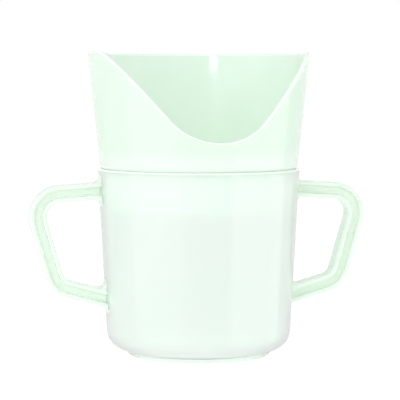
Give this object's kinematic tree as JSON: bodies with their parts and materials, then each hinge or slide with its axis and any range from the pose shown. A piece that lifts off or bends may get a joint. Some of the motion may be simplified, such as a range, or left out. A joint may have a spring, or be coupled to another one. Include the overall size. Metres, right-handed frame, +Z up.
{
  "type": "nosey cup",
  "caption": "Nosey cup in translucent plastic: a tapered mug with an angular handle on each side, and a flared lift-out collar cut away in front to clear the nose.",
  "frame": {"origin": "on the cup's axis, in the plane that the foot ring stands on", "axes": "+Z up along the cup's axis; the handles lie along +X and -X; the nose cut-out faces -Y and the drinking side +Y"},
  "size_m": [0.1384, 0.0859, 0.122],
  "materials": {
    "mug_plastic": "translucent pale mint-green polypropylene, moulded smooth with a soft gloss",
    "insert_plastic": "translucent pale mint-green polypropylene, moulded smooth with a soft gloss"
  },
  "bodies": {
    "mug": {"mug_body": "mug_plastic", "left_handle": "mug_plastic", "right_handle": "mug_plastic"},
    "insert": {"nosey_insert": "insert_plastic"}
  },
  "joints": [
    {"name": "insert_lift", "type": "slide", "parent": "mug", "child": "insert", "axis": [0, 0, 1], "range_m": [0, 0.025]}
  ]
}
